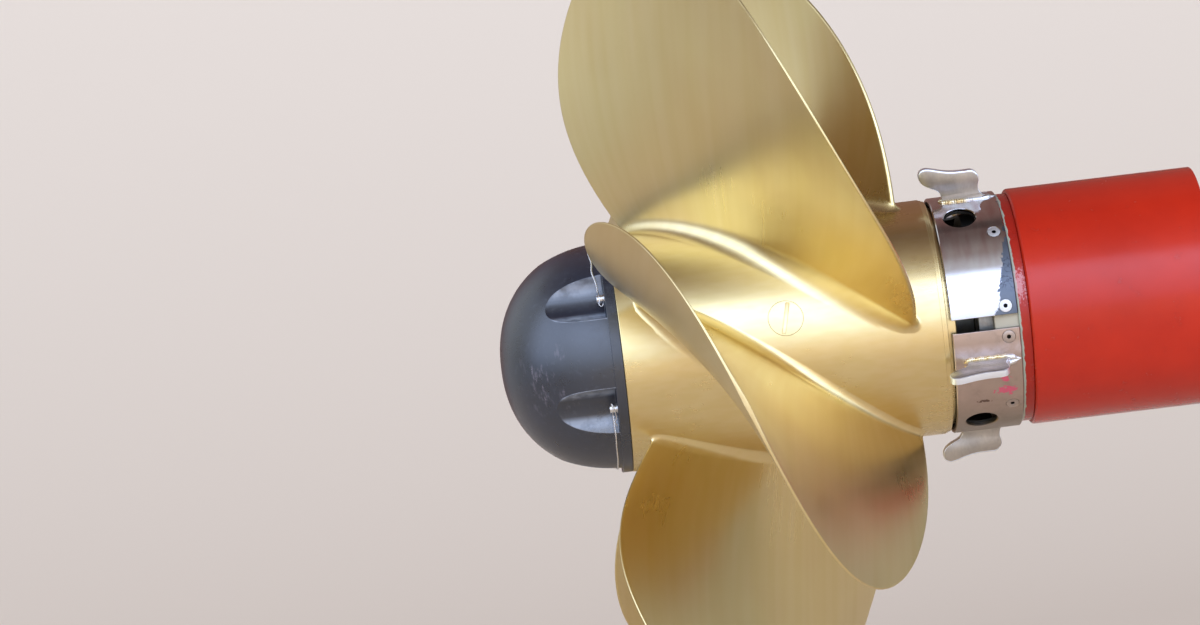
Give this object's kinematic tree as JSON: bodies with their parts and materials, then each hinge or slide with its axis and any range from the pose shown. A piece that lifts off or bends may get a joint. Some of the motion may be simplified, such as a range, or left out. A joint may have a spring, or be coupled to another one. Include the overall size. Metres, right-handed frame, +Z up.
{
  "type": "ship propeller",
  "caption": "Right-handed bladed bronze ship propeller with domed cap and rope guard, turning on a shaft in a stub of its bracket barrel.",
  "frame": {"origin": "centre of the barrel's flat forward face, on the shaft axis", "axes": "+X forward along the shaft, +Z up, +Y to port"},
  "size_m": [1.081, 1.3205, 1.321],
  "materials": {
    "bronze": "ground and polished cast bronze",
    "cap_plastic": "satin turned plastic",
    "lockwire": "bright twisted wire",
    "shaft_steel": "turned",
    "bearing_rubber": "matt",
    "ring_paint": "dull primer red",
    "barrel_paint": "gloss orange red",
    "guard_polished": "mirror polished stainless",
    "guard_brushed": "dull brushed stainless",
    "knife_steel": "ground stainless"
  },
  "bodies": {
    "bracket": {"bracket_barrel": "barrel_paint", "barrel_end_ring": "ring_paint", "bearing_sleeve": "bearing_rubber", "rope_guard_upper": "guard_polished", "rope_guard_lower": "guard_brushed", "rope_knife_upper_1": "knife_steel", "rope_knife_upper_2": "knife_steel", "rope_knife_lower_1": "knife_steel", "rope_knife_lower_2": "knife_steel"},
    "propeller": {"propeller_hub": "bronze", "blade_1": "bronze", "blade_2": "bronze", "blade_3": "bronze", "blade_4": "bronze", "blade_5": "bronze", "hub_plug_1": "bronze", "hub_plug_2": "bronze", "hub_plug_3": "bronze", "hub_plug_4": "bronze", "hub_plug_5": "bronze", "hub_cap": "cap_plastic", "lockwire_1": "lockwire", "lockwire_2": "lockwire", "lockwire_3": "lockwire", "propeller_shaft": "shaft_steel"}
  },
  "joints": [
    {"name": "shaft_turn", "type": "hinge", "parent": "bracket", "child": "propeller", "pos_m": [-0.6, 0, 0], "axis": [1, 0, 0], "continuous": true}
  ]
}
